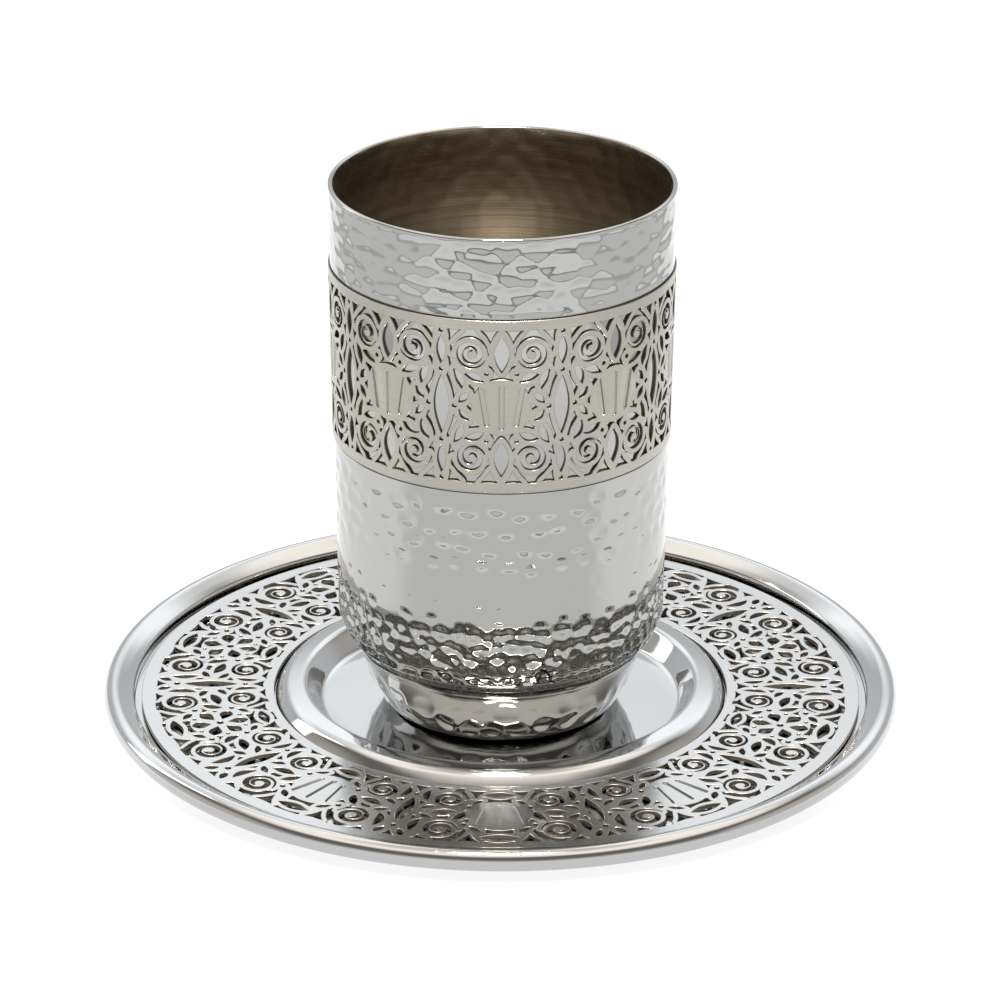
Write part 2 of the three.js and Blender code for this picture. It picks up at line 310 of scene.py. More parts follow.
def shaped(piece, tree, sizes, finish=lambda piece: None):
    """Runs a tree on a piece and keeps the result as its plain mesh."""
    modifier = piece.modifiers.new(tree.name, "NODES")
    modifier.node_group = tree
    for item in tree.interface.items_tree:
        if item.in_out == "INPUT" and item.name in sizes:
            modifier[item.identifier] = sizes[item.name]
    finish(piece)
    graph = bpy.context.evaluated_depsgraph_get()
    result = bpy.data.meshes.new_from_object(
        piece.evaluated_get(graph), preserve_all_data_layers=True, depsgraph=graph)
    piece.modifiers.clear()
    piece.data = result
    result.shade_smooth()
    result.set_sharp_from_angle(angle=math.radians(38))
    return piece


def kept(tree, geometry, label, value, domain="POINT"):
    """Stores a number on every point or face under a label."""
    feeds = {"Geometry": geometry, "Name": label, "Value": value}
    return put(tree, "GeometryNodeStoreNamedAttribute", feeds, data_type="FLOAT", domain=domain)[0]


def labelled(tree, label, kind="FLOAT"):
    return put(tree, "GeometryNodeInputNamedAttribute", {"Name": label}, data_type=kind)[0]


def at_point(tree, geometry, value, index, kind="FLOAT"):
    feeds = {"Geometry": geometry, "Value": value, "Index": index}
    return put(tree, "GeometryNodeSampleIndex", feeds, data_type=kind, domain="POINT")[0]


def turned_tree(name, worked=lambda tree, sizes, place, angle, row: place):
    """A tree that turns a section line round the Z axis, and may work the turned wall."""
    tree, sizes = new_tree(name, {"Sides": 64, "Material": None})
    section = sizes["Geometry"]
    rows = put(tree, "GeometryNodeAttributeDomainSize", {0: section}, component="MESH")[0]
    grid = put(tree, "GeometryNodeMeshGrid", {"Vertices X": rows, "Vertices Y": sizes["Sides"] + 1})[0]
    index = put(tree, "GeometryNodeInputIndex")[0]
    across = sizes["Sides"] + 1
    row = (index / across).maths("FLOOR")
    angle = (index - row * across).maths("MODULO", sizes["Sides"]) / sizes["Sides"] * math.tau
    point = at_point(tree, section, put(tree, "GeometryNodeInputPosition")[0], row, "FLOAT_VECTOR")
    radius, _, height = point.parts()
    radius, height = worked(tree, sizes, (radius, height), angle, row)
    place = vector(tree, radius * angle.maths("COSINE"), radius * angle.maths("SINE"), height)
    wall = kept(tree, grid, "inside", at_point(tree, section, labelled(tree, "inside"), row))
    wall = put(tree, "GeometryNodeSetPosition", {"Geometry": wall, "Position": place})[0]
    wall = put(tree, "GeometryNodeMergeByDistance", {"Geometry": wall, "Distance": 1e-6})[0]
    close_tree(tree, wall, sizes["Material"])
    return tree


def steel(name, tone, roughness):
    """Bare stainless steel. Returns the material, its tree, its surface and its own place."""
    material = bpy.data.materials.new(name)
    material.use_nodes = True
    tree = material.node_tree
    surface = tree.nodes["Principled BSDF"]
    surface.inputs["Metallic"].default_value = 1
    surface.inputs["Base Color"].default_value = (*tone, 1)
    surface.inputs["Roughness"].default_value = roughness
    place = Wire(tree, tree.nodes.new("ShaderNodeTexCoord").outputs["Object"])
    return material, tree, surface, place


def noise(tree, place, scale, detail=2.0, stretch=(1, 1, 1)):
    moved = put(tree, "ShaderNodeMapping", {"Vector": place, "Scale": stretch})[0]
    return put(tree, "ShaderNodeTexNoise", {"Vector": moved, "Scale": scale, "Detail": detail})[0]


def between(tree, value, low, high, start=0.0, end=1.0):
    """Maps a value's range from low to high onto start to end."""
    return put(tree, "ShaderNodeMapRange", {"Value": value, 1: low, 2: high, 3: start, 4: end})[0]


def relief(tree, surface, height, depth, under=None):
    """Bump of a real depth in metres."""
    feeds = {"Height": height, "Strength": 1.0, "Distance": depth}
    if under is not None:
        feeds["Normal"] = under
    normal = put(tree, "ShaderNodeBump", feeds)[0]
    tree.links.new(normal.socket, surface.inputs["Normal"])
    return normal


polished, tree, surface, place = steel("polished_saucer_steel", (0.52, 0.525, 0.53), 0.07)
smears = noise(tree, place, 90, 4)
hairlines = noise(tree, place, 900, 3, (1, 0.12, 1))
gloss = between(tree, smears, 0.3, 0.75, 0.035, 0.11) + between(tree, hairlines, 0.62, 0.8, 0.0, 0.10)
tree.links.new(gloss.socket, surface.inputs["Roughness"])
pressed = relief(tree, surface, noise(tree, place, 45, 1), 0.00012)
relief(tree, surface, hairlines, 0.0000015, pressed)

face_line = rounded([
    (0, WELL_TOP, 0, 2.0), (WELL_RADIUS, WELL_TOP, 1.0, 2.0), (31.9, 4.45, 1.1), (35.3, 4.05, 2.0),
    (36.75, 2.2, 0.5), (CHANNEL_INNER, CHANNEL_TOP, 0.08), (CHANNEL_OUTER, CHANNEL_TOP, 0.12, 1.6),
    (59.9, 3.35, 0.85), (61.65, 4.62, 0.0)], SAUCER_STEP)
while face_line[-1][0] > ROLL_START:
    face_line.pop()
for i in range(33):
    a = math.radians(128 - i * 8.4)
    face_line.append((ROLL_RADIUS + ROLL * math.cos(a), ROLL_HEIGHT + ROLL * math.sin(a)))
back_line = [(max(r - SAUCER_SHEET * nr, 0), z - SAUCER_SHEET * nz)
             for (r, z), (nr, nz) in zip(face_line, left_of(face_line))]
section = face_line + back_line[::-1]
saucer = drawn("polished_saucer", [(r, 0, z) for r, z in section], in_a_row(section))
shaped(saucer, turned_tree("Pressed dish"), {"Sides": SAUCER_SIDES, "Material": polished})
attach(saucer, "root")
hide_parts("saucer")


# --- Saucer ring --------------------------------------------------------------------------------
# A flat ring cut from 0.7 mm stainless sheet, satin finished, lying loose in the saucer's channel.
# Ten bays of scrolls, leaves and six-petalled flowers are cut right through it. Three bays at the
# front carry shallow strokes in the inscription's place instead of the flower.

RING_SHEET = 0.7
RING_TOP = 2.65
RING_OUTER, RING_INNER = 58.7, 37.1
RING_MIDDLE = 47.45
RING_BAYS = 10
RING_INSCRIBED_REACH = 1
STROKE_DEPTH = 0.25
STROKE_SPACING = 2.7
CUT_EDGE_EASE = 0.06
RING_FIELD, RING_RIBBON, RING_FLOWER_CLEAR = 9.15, 0.78, 4.9
EVERY_BAY, FLOWER_BAY, INSCRIBED_BAY = 0.0, 1.0, 2.0


def spun(outline, degrees):
    c, s = math.cos(math.radians(degrees)), math.sin(math.radians(degrees))
    return [(x * c - y * s, x * s + y * c) for x, y in outline]


def along_route(route, halves):
    """An outline round a route, with half its width at each point. Pointed ends keep one point."""
    left, right = [], []
    for i, ((x, y), half) in enumerate(zip(route, halves)):
        x0, y0 = route[max(i - 1, 0)]
        x1, y1 = route[min(i + 1, len(route) - 1)]
        length = math.dist((x0, y0), (x1, y1))
        nx, ny = -(y1 - y0) / length, (x1 - x0) / length
        left.append((x + nx * half, y + ny * half))
        right.append((x - nx * half, y - ny * half))
    outline = []
    for point in right + left[::-1]:
        if not outline or math.dist(point, outline[-1]) > 0.03:
            outline.append(point)
    if math.dist(outline[0], outline[-1]) < 0.03:
        outline.pop()
    return outline


def leaf(length, width, bend=0.0, fullest=0.5, points=12):
    route, halves = [], []
    for i in range(points + 1):
        t = i / points
        route.append(((t - 0.5) * length, bend * (1 - (2 * t - 1) ** 2)))
        halves.append(width / 2 * math.sin(math.pi * t ** (math.log(0.5) / math.log(fullest))) ** 0.9)
    return along_route(route, halves)


def scroll(radius, width, turns, hand=1, points=40):
    """A slot that winds in to the scroll's eye."""
    route, halves = [], []
    for i in range(points + 1):
        t = i / points
        angle = hand * math.tau * turns * t
        r = radius * (1 - 0.72 * t ** 0.85)
        route.append((r * math.cos(angle), r * math.sin(angle)))
        halves.append(width / 2 * min(1.0, 0.15 + 3.2 * t) * min(1.0, 0.45 + 2.5 * (1 - t)))
    return along_route(route, halves)


def spandrel(a, b, c):
    """A three-cornered opening with hollow sides."""
    cx, cy = (a[0] + b[0] + c[0]) / 3, (a[1] + b[1] + c[1]) / 3
    outline = []
    for p, q in ((a, b), (b, c), (c, a)):
        for t in (0, 0.25, 0.5, 0.75):
            x, y = p[0] + (q[0] - p[0]) * t, p[1] + (q[1] - p[1]) * t
            hollow = 0.72 * t * (1 - t)
            outline.append((x + (cx - x) * hollow, y + (cy - y) * hollow))
    return outline


def hole(radius, points=14):
    turns = [math.tau * i / points for i in range(points)]
    return [(radius * math.cos(a), radius * math.sin(a)) for a in turns]


def stroke(place, points=6):
    """A straight round-ended groove, one of three that lean apart."""
    half, length = 0.4, 7.5 - abs(place)
    outline = []
    for end in (1, -1):
        for i in range(points + 1):
            a = -math.pi / 2 + math.pi * i / points
            outline.append((end * (length / 2 - half + half * math.cos(a)), end * half * math.sin(a)))
    return spun(outline, 90 - math.degrees(0.16) * place)


def strokes(middle_radius):
    return [(math.degrees(place * STROKE_SPACING / middle_radius), 0, stroke(place)) for place in (-1, 0, 1)]


def flower(length, width, offset, eye, turn):
    petal = [(x + offset, y) for x, y in leaf(length, width, fullest=0.6)]
    return [(0, 0, hole(eye))] + [(0, 0, spun(petal, 60 * i + turn)) for i in range(6)]


def mirrored(items):
    return items + [(-degrees, y, [(-u, v) for u, v in outline[::-1]]) for degrees, y, outline in items]


def clearings(items, flat, half_bay, low, high, ribbon, round_middle, least=0.45):
    """Openings in the metal that a bay's openings leave plain, a ribbon's width from each of them.
    Returns loops of (degrees, height). flat places a bay's point where distances are true."""
    outlines = [np.array([flat(u, v, degrees + side * half_bay, y) for u, v in outline])
                for side in (0, -2, 2) for degrees, y, outline in items]
    steps = [p + (q - p) * t for loop in outlines for p, q in zip(loop, np.roll(loop, -1, axis=0))
             for t in (0, 0.25, 0.5, 0.75)]
    edges = KDTree(len(steps))
    for i, (x, y) in enumerate(steps):
        edges.insert((x, y, 0), i)
    edges.balance()
    cells = 150
    degrees = np.linspace(-half_bay, half_bay, cells + 1)
    across = np.linspace(low, high, cells + 1)
    grid = np.array([[flat(0, v, d, 0) for v in across] for d in degrees])
    gap = np.array([[edges.find((x, y, 0))[2] for x, y in column] for column in grid])
    px, py = grid[..., 0], grid[..., 1]
    inside = np.zeros(px.shape, bool)
    for loop in outlines:
        for (x0, y0), (x1, y1) in zip(loop, np.roll(loop, -1, axis=0)):
            if y0 != y1:
                inside ^= ((y0 > py) != (y1 > py)) & (px < x0 + (py - y0) * (x1 - x0) / (y1 - y0))
    gap = np.where(inside, -1, gap - ribbon)
    gap = np.minimum(gap, np.linalg.norm(grid - np.array(flat(0, 0, 0, 0)), axis=-1) - round_middle)
    to_side = np.linalg.norm(grid - grid[:1], axis=-1)
    gap = np.minimum(gap, np.minimum(to_side, to_side[::-1]) - ribbon / 2)
    gap = np.minimum(gap, np.minimum(across - low, high - across)[None] - 0.02)
    follows = {}
    for i in range(cells):
        for j in range(cells):
            corner = [(i, j), (i + 1, j), (i + 1, j + 1), (i, j + 1)]
            open_here = [gap[c] > 0 for c in corner]
            for k in range(4):
                if open_here[k] and not open_here[(k + 1) % 4]:
                    m = next(m for m in (k + 1, k + 2, k + 3) if open_here[(m + 1) % 4])
                    follows[tuple(sorted((corner[k], corner[(k + 1) % 4])))] = tuple(
                        sorted((corner[m % 4], corner[(m + 1) % 4])))
    loops = []
    while follows:
        first, step = follows.popitem()
        loop = [first]
        while step != first:
            loop.append(step)
            step = follows.pop(step)
        cuts, kept = [], []
        for (i0, j0), (i1, j1) in loop:
            t = gap[i0, j0] / (gap[i0, j0] - gap[i1, j1])
            spot = (degrees[i0] + t * (degrees[i1] - degrees[i0]),
                    across[j0] + t * (across[j1] - across[j0]))
            here = flat(0, spot[1], spot[0], 0)
            if not kept or math.dist(here, kept[-1]) > 0.3 and math.dist(here, kept[0]) > 0.2:
                cuts.append(spot)
                kept.append(here)
        area = sum(x0 * y1 - x1 * y0 for (x0, y0), (x1, y1) in zip(kept, kept[1:] + kept[:1])) / 2
        if abs(area) > least:
            loops.append(cuts)
    return loops


def bay_drawing(name, kinds, cleared, onto):
    """One bay's openings as closed loops. Each point keeps the kind of bay that it belongs in."""
    loops = [(kind, [onto(u, v, degrees, y) for u, v in outline])
             for kind, items in kinds.items() for degrees, y, outline in items]
    loops += [(EVERY_BAY, [onto(0, v, degrees, 0) for degrees, v in loop]) for loop in cleared]
    points, edges, kind_of = [], [], []
    for kind, loop in loops:
        first = len(points)
        points += [(x, y, 0) for x, y in loop]
        edges += [(first + i, first + (i + 1) % len(loop)) for i in range(len(loop))]
        kind_of += [kind] * len(loop)
    return drawn(name, points, edges, {"bay_kind": kind_of})


def raised(tree, part, height):
    feeds = {"Geometry": part, "Offset": vector(tree, 0.0, 0.0, height)}
    return put(tree, "GeometryNodeSetPosition", feeds)[0]


def pierced_tree(name, laid):
    """A tree that repeats one bay's openings round a centre and cuts them through a flat ring."""
    tree, sizes = new_tree(name, {
        "Bays": 10, "Inscribed reach": 1, "Inner radius": 0.03, "Outer radius": 0.05, "Border points": 320,
        "Sheet": 0.0007, "Groove depth": 0.00025, "Material": None})
    kind = labelled(tree, "bay_kind")
    number = put(tree, "GeometryNodeInputIndex")[0]
    reach = number.maths("MINIMUM", sizes["Bays"] - number)
    inscribed = put(tree, "FunctionNodeCompare", {"A": reach, "B": sizes["Inscribed reach"] + 0.5},
                    data_type="FLOAT", operation="LESS_THAN")[0]
    plain = put(tree, "FunctionNodeBooleanMath", {0: inscribed}, operation="NOT")[0]
    turn = vector(tree, 0.0, 0.0, number / sizes["Bays"] * math.tau - math.pi / 2)
    centres = put(tree, "GeometryNodePoints", {"Count": sizes["Bays"]})[0]

    def loops(value, selection):
        near = put(tree, "FunctionNodeCompare", {"A": kind, "B": value, "Epsilon": 0.25},
                   data_type="FLOAT", operation="EQUAL")[0]
        part = put(tree, "GeometryNodeSeparateGeometry",
                   {"Geometry": sizes["Geometry"], "Selection": near})[0]
        line = put(tree, "GeometryNodeMeshToCurve", {"Mesh": part})[0]
        feeds = {"Points": centres, "Instance": line, "Rotation": turn}
        if selection is not None:
            feeds["Selection"] = selection
        round_about = put(tree, "GeometryNodeInstanceOnPoints", feeds)[0]
        return put(tree, "GeometryNodeRealizeInstances", {0: round_about})[0]

    def edge(radius):
        return put(tree, "GeometryNodeCurvePrimitiveCircle",
                   {"Resolution": sizes["Border points"], "Radius": radius})[0]

    def joined(*parts):
        return put(tree, "GeometryNodeJoinGeometry", {0: list(parts)})[0]

    def filled(curves):
        return put(tree, "GeometryNodeFillCurve", {"Curve": curves})[0]

    def pushed(part, height):
        feeds = {"Mesh": part, "Offset": vector(tree, 0.0, 0.0, height), "Offset Scale": 1.0,
                 "Individual": False}
        return put(tree, "GeometryNodeExtrudeMesh", feeds, mode="FACES")

    through = joined(loops(EVERY_BAY, None), loops(FLOWER_BAY, plain),
                     edge(sizes["Inner radius"]), edge(sizes["Outer radius"]))
    grooves = loops(INSCRIBED_BAY, inscribed)
    underside = put(tree, "GeometryNodeFlipFaces", {"Mesh": filled(through)})[0]
    body, _, sides = pushed(filled(through), sizes["Sheet"])
    not_side = put(tree, "FunctionNodeBooleanMath", {0: sides}, operation="NOT")[0]
    walls = put(tree, "GeometryNodeDeleteGeometry", {"Geometry": body, "Selection": not_side},
                domain="FACE")[0]
    walls = kept(tree, walls, "cut_edge", 1.0, "FACE")
    face = raised(tree, filled(joined(through, grooves)), sizes["Sheet"])
    grooved = pushed(raised(tree, filled(grooves), sizes["Sheet"]), sizes["Groove depth"] * -1.0)[0]
    sheet = put(tree, "GeometryNodeMergeByDistance",
                {"Geometry": joined(underside, walls, face, grooved), "Distance": 2e-6})[0]
    close_tree(tree, laid(tree, sheet), sizes["Material"])
    return tree


def eased_edges(piece):
    """Breaks the sharp cut edges, as tumbling does."""
    ease = piece.modifiers.new("eased cut edges", "BEVEL")
    ease.limit_method = "ANGLE"
    ease.angle_limit = math.radians(50)
    ease.width = CUT_EDGE_EASE * MM
    ease.segments = 1
    ease.use_clamp_overlap = False


def on_ring(u, v, degrees, y):
    """A bay's point, u round and v outwards, in the flat of the ring."""
    radius, angle = RING_MIDDLE + y + v, math.radians(degrees) + u / (RING_MIDDLE + y)
    return radius * math.cos(angle), radius * math.sin(angle)


ring_side = [
    (10.2, 5.0, spun(scroll(2.85, 0.95, 1.75), 185)), (10.6, -5.1, spun(scroll(2.55, 0.85, 1.7, -1), 175)),
    (14.4, 4.6, spun(leaf(4.6, 1.4, -0.6), 84)), (15.2, -5.8, spun(leaf(3.8, 1.1, -0.45), 97)),
    (7.7, 0.1, spun(leaf(3.6, 1.35, 0.3), 62)), (10.7, -0.5, spun(leaf(4.2, 1.6, -0.3), 14)),
    (13.6, 1.1, spun(leaf(2.5, 1.1, 0.2), -28)), (14.1, -1.7, spun(leaf(2.6, 1.0, -0.2), 35)),
    (5.2, 7.6, spandrel((-1.9, 1.2), (1.6, 1.2), (-0.2, -1.6))),
    (12.6, 8.45, spandrel((-1.3, 0.5), (1.5, 0.5), (0.6, -0.8))), (16.2, 7.6, spun(leaf(2.4, 1.2), 118)),
    (5.1, -7.3, spandrel((-1.4, -1.2), (1.3, -1.2), (0, 1.4))),
    (12.8, -8.45, spandrel((-1.3, -0.45), (1.6, -0.45), (0.5, 0.5))),
    (4.2, 4.6, spun(leaf(2.6, 1.1), -42)), (4.6, -4.6, spun(leaf(2.3, 0.95), 42)),
    (6.2, -2.9, hole(0.42)), (6.3, 3.1, hole(0.45))]
ring_axis = [
    (0, 7.2, leaf(6, 1.9)), (0, -7.3, leaf(4.8, 1.7)), (18, 0, spun(leaf(9, 2.3), 90)),
    (18, 5.6, hole(0.5)), (18, -5.6, hole(0.4)), (18, 8.1, spandrel((-1.1, 0.8), (1.1, 0.8), (0, -0.9))),
    (18, -7.7, spandrel((-1.2, -0.9), (1.2, -0.9), (0, 1.2)))]
ring_flower = flower(3.4, 2.1, 3.0, 0.55, 30) + [
    (0, 0, [(x + dx, y + dy) for x, y in hole(0.32, 8)]) for dx, dy in hole(4.3, 6)]

# The cut edges take a darker tone: partly the cut's own oxide, partly painted shade in the openings.
RING_TONE, RING_CUT_OXIDE_AND_SHADE_TONE = (0.56, 0.565, 0.57), (0.40, 0.37, 0.335)
satin, tree, surface, place = steel("satin_ring_steel", RING_TONE, 0.26)
grain = noise(tree, place, 2600, 3, (0.16, 1, 1))
cloudy = noise(tree, place, 120, 3)
dull = between(tree, grain, 0.3, 0.7, 0.14, 0.23) + between(tree, cloudy, 0.35, 0.7, -0.02, 0.04)
cut_edge = put(tree, "ShaderNodeAttribute", {}, attribute_name="cut_edge")[2]
tree.links.new((dull + cut_edge * 0.18).socket, surface.inputs["Roughness"])
# Partly painted shade: the cut edges blend towards their darker tone.
tree.links.new(blended(tree, cut_edge, RING_TONE, RING_CUT_OXIDE_AND_SHADE_TONE).socket, surface.inputs["Base Color"])
rolled = relief(tree, surface, cloudy, 0.00002)
relief(tree, surface, grain, 0.0000022, rolled)

ring_bay = mirrored(ring_side) + ring_axis
ring = bay_drawing(
    "pierced_ring", {EVERY_BAY: ring_bay, FLOWER_BAY: ring_flower, INSCRIBED_BAY: strokes(RING_MIDDLE)},
    clearings(ring_bay, on_ring, 180 / RING_BAYS, -RING_FIELD, RING_FIELD, RING_RIBBON, RING_FLOWER_CLEAR),
    on_ring)


def in_channel(tree, sheet):
    return raised(tree, sheet, (RING_TOP - RING_SHEET) * MM)


shaped(ring, pierced_tree("Pierced flat ring", in_channel), {
    "Bays": RING_BAYS, "Inscribed reach": RING_INSCRIBED_REACH, "Inner radius": RING_INNER * MM,
    "Outer radius": RING_OUTER * MM, "Border points": 400, "Sheet": RING_SHEET * MM,
    "Groove depth": STROKE_DEPTH * MM, "Material": satin}, eased_edges)
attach(ring, "root")
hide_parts("saucer_ring")


# --- Cup ----------------------------------------------------------------------------------------
# One tumbler drawn from 0.8 mm stainless sheet, with a rounded shoulder, a small groove and a stepped
# foot, hollow to the foot. It was hammered by hand in rows and mirror polished outside, and brushed
# on the lathe inside. A shallow recess takes the sleeve.

CUP_TOP, LIP_RADIUS = 90.1, 27.5
BODY_FOOT, BODY_FOOT_RADIUS = 19.5, 26.4
CUP_WALL, LIP_DROP = 0.8, 0.35
CUP_FLOOR, CUP_UNDERSIDE = 1.8, 1.0
GROOVE_BOTTOM, GROOVE_TOP = 11.9, 14.2
RECESS_BOTTOM, RECESS_TOP, SLEEVE_RECESS = 48.0, 77.2, 0.18
HAMMERED_INSIDE = 16.0
BODY_LENGTH, BODY_STRETCH, SHOULDER_STRETCH = 66, 1.5, 1.1
CUP_SIDES = 376
FINE, MEDIUM, COARSE = 0.41, 0.53, 4.0


def body_radius(z):
    return BODY_FOOT_RADIUS + (LIP_RADIUS - BODY_FOOT_RADIUS) * (z - BODY_FOOT) / (CUP_TOP - BODY_FOOT)


inside_line = rounded([
    (0, CUP_FLOOR, 0), (17.4, CUP_FLOOR, 0.9, 2.2), (22.7, 12.2, 2.0, 1.5), (24.7, 14.9, 2.2, 0.8),
    (25.62, BODY_FOOT, 3.0, 0.8), (body_radius(76) - CUP_WALL, 76, 0, COARSE),
    (LIP_RADIUS - CUP_WALL, CUP_TOP - LIP_DROP, 0.0, 0.7)], 0.7)
half_wall = CUP_WALL / 2
lip_line = [(LIP_RADIUS - half_wall - half_wall * math.cos(a), CUP_TOP - LIP_DROP + LIP_DROP * math.sin(a))
            for a in [math.pi * i / 8 for i in range(1, 8)]]
outside_line = rounded([
    (LIP_RADIUS, CUP_TOP - LIP_DROP, 0), (body_radius(RECESS_TOP), RECESS_TOP, 0.12, FINE),
    (body_radius(RECESS_TOP) - SLEEVE_RECESS, RECESS_TOP, 0.0, 0.2),
    (body_radius(RECESS_BOTTOM) - SLEEVE_RECESS, RECESS_BOTTOM, 0.0, COARSE),
    (body_radius(RECESS_BOTTOM), RECESS_BOTTOM, 0.12, 0.2),
    (body_radius(22), 22, 0, MEDIUM), (26.38, 17.0, 3.2, FINE), (24.75, 13.75, 1.1, FINE),
    (23.25, 13.1, 0.3, FINE), (23.3, 12.3, 0.45, FINE), (22.9, 11.0, 1.2, FINE), (21.6, 6.4, 4.0, FINE),
    (19.3, 2.2, 1.8, FINE), (17.9, CUP_UNDERSIDE, 0.3, FINE), (0, CUP_UNDERSIDE, 0, COARSE)], FINE)
section = inside_line + lip_line + outside_line
lip_point = len(inside_line) + len(lip_line) // 2
below_lip = [0.0] * len(section)
for i in range(lip_point + 1, len(section)):
    below_lip[i] = below_lip[i - 1] + math.dist(section[i], section[i - 1])
for i in range(lip_point - 1, -1, -1):
    below_lip[i] = below_lip[i + 1] + math.dist(section[i], section[i + 1])


def left_plain(i):
    """Whether the hammer leaves a point alone, as on the lip, the floor and the underside, in the
    groove and at the recess's two edges."""
    z = section[i][1]
    if i < lip_point:
        return lip_point - i < 5 or below_lip[i] > HAMMERED_INSIDE
    spared = ((CUP_UNDERSIDE - 0.05, CUP_UNDERSIDE + 0.05), (GROOVE_BOTTOM, GROOVE_TOP),
              (RECESS_BOTTOM - 0.2, RECESS_BOTTOM + 0.3), (RECESS_TOP - 0.1, RECESS_TOP + 0.2))
    return i - lip_point < 5 or any(low < z < high for low, high in spared)


# At each point, the way a blow from outside drives the wall: both faces go the same way, inwards.
blows = []
for i, (nr, nz) in enumerate(left_of(section)):
    force = 0.0 if left_plain(i) else 1.0 if i < lip_point else -1.0
    blows.append((nr * force, 0.0, nz * force))


def along(below):
    """A height's place on the straight tube that the blows are laid out on, which is longer than the
    wall by each zone's stretch, so that the blows' marks come out wide and low."""
    return BODY_STRETCH * min(below, BODY_LENGTH) + SHOULDER_STRETCH * max(below - BODY_LENGTH, 0)


# Each zone: rows, blows in a row, first row below the lip, pitch, wander, reach, depth and seed.
HAMMERED_ZONES = [
    (6, 41, 1.9, 2.25, 0.34, 2.45, 0.14, 11),   # the collar
    (4, 39, 45.6, 3.2, 0.20, 1.85, 0.20, 23),   # the body under the sleeve
    (2, 31, 58.6, 3.4, 0.35, 1.2, 0.07, 29),    # the body's foot
    (1, 37, 65.4, 2.0, 0.45, 1.0, 0.12, 31),    # the shoulder's edge
    (6, 68, 67.6, 1.95, 0.33, 1.3, 0.34, 37),   # the shoulder
    (2, 29, 84.9, 3.0, 0.30, 2.5, 0.22, 53)]    # the foot
# How far the wall wavers between the blows, and how far a blow's outline strays from round.
WAVINESS, DRIFT = 0.12, 1.9


def on_tube(tree, angle, height):
    """A place on the straight tube that the blows are laid out on."""
    tube = BODY_FOOT_RADIUS * MM
    return vector(tree, angle.maths("COSINE") * tube, angle.maths("SINE") * tube, height)


def struck_zone(tree, zone):
    """Points for one zone's hammer blows, each with its reach and depth."""
    rows, in_row, first, pitch, wander, reach, depth, seed = zone
    number = put(tree, "GeometryNodeInputIndex")[0]
    row = (number / float(in_row)).maths("FLOOR")

    def chance(offset):
        feeds = {"Min": -1.0, "Max": 1.0, "ID": number, "Seed": seed + offset}
        return put(tree, "FunctionNodeRandomValue", feeds, data_type="FLOAT")[0]

    turn = number - row * in_row + row.maths("MODULO", 2) * 0.5 + chance(1) * wander
    angle = turn * (math.tau / in_row)
    height = (row + chance(2) * wander) * ((along(first + pitch) - along(first)) * MM) + along(first) * MM
    feeds = {"Count": rows * in_row, "Position": on_tube(tree, angle, height)}
    points = put(tree, "GeometryNodePoints", feeds)[0]
    return kept(tree, kept(tree, points, "reach", reach * MM), "depth", depth * MM)


def hammered(tree, sizes, place, angle, row):
    """Moves the turned wall inwards under each hammer blow."""
    radius, height = place
    section = sizes["Geometry"]

    def note(label, kind):
        return at_point(tree, section, labelled(tree, label, kind), row, kind)

    around = on_tube(tree, angle, note("along", "FLOAT"))
    drift = put(tree, "ShaderNodeTexNoise", {"Vector": around, "Scale": 210.0, "Detail": 0.0})[1]
    drift = put(tree, "ShaderNodeVectorMath", {0: drift, 1: (0.5, 0.5, 0.5)}, operation="SUBTRACT")[0]
    feeds = {0: drift, 1: (DRIFT * MM,) * 3, 2: around}
    spot = put(tree, "ShaderNodeVectorMath", feeds, operation="MULTIPLY_ADD")[0]
    struck = [struck_zone(tree, zone) for zone in HAMMERED_ZONES]
    marks = put(tree, "GeometryNodeJoinGeometry", {0: struck})[0]
    feeds = {"Geometry": marks, "Sample Position": spot}
    nearest = put(tree, "GeometryNodeSampleNearest", feeds, domain="POINT")[0]
    centre = at_point(tree, marks, put(tree, "GeometryNodeInputPosition")[0], nearest, "FLOAT_VECTOR")
    away = put(tree, "ShaderNodeVectorMath", {0: spot, 1: centre}, operation="DISTANCE")[-1]
    reach = at_point(tree, marks, labelled(tree, "reach"), nearest)
    depth = at_point(tree, marks, labelled(tree, "depth"), nearest)
    share = away / reach
    dent = (1.0 + share * share * -1.0).maths("MAXIMUM", 0.0) * depth
    wavy = put(tree, "ShaderNodeTexNoise", {"Vector": spot, "Scale": 130.0, "Detail": 1.0})[0] - 0.5
    dent = dent + wavy * (WAVINESS * MM)
    push_r, _, push_z = note("blow", "FLOAT_VECTOR").parts()
    return radius + push_r * dent, height + push_z * dent


# The inside is the same steel given a darker, warmer tone: painted shade, with the painted warmth of its
# many inner reflections.
CUP_TONE, CUP_INSIDE_SHADED_TONE = (0.42, 0.426, 0.416), (0.32, 0.268, 0.20)
mirror, tree, surface, place = steel("hammered_cup_steel", CUP_TONE, 0.06)
smears = noise(tree, place, 110, 4)
x, y, z = place.parts()


def lathe_turned(fineness):
    """Streaks that run round the wall, as a lathe's brush leaves them."""
    streaks = vector(tree, x * 25.0, y * 25.0, z * fineness)
    return put(tree, "ShaderNodeTexNoise", {"Vector": streaks, "Scale": 1.0, "Detail": 2.0})[0]


inside = put(tree, "ShaderNodeAttribute", {}, attribute_name="inside")[2]
brushed = inside * eased(tree, z, 0.0700, 0.0860, 1.0, 0.40)
fine, broad = lathe_turned(5000.0), lathe_turned(900.0)
gloss = between(tree, smears, 0.3, 0.75, 0.03, 0.08) + brushed * between(tree, broad, 0.3, 0.7, 0.50, 0.62)
tree.links.new(gloss.socket, surface.inputs["Roughness"])
tree.links.new((brushed * 0.95).socket, surface.inputs["Anisotropic"])
tree.links.new(vector(tree, 0.0, 0.0, 1.0).socket, surface.inputs["Tangent"])
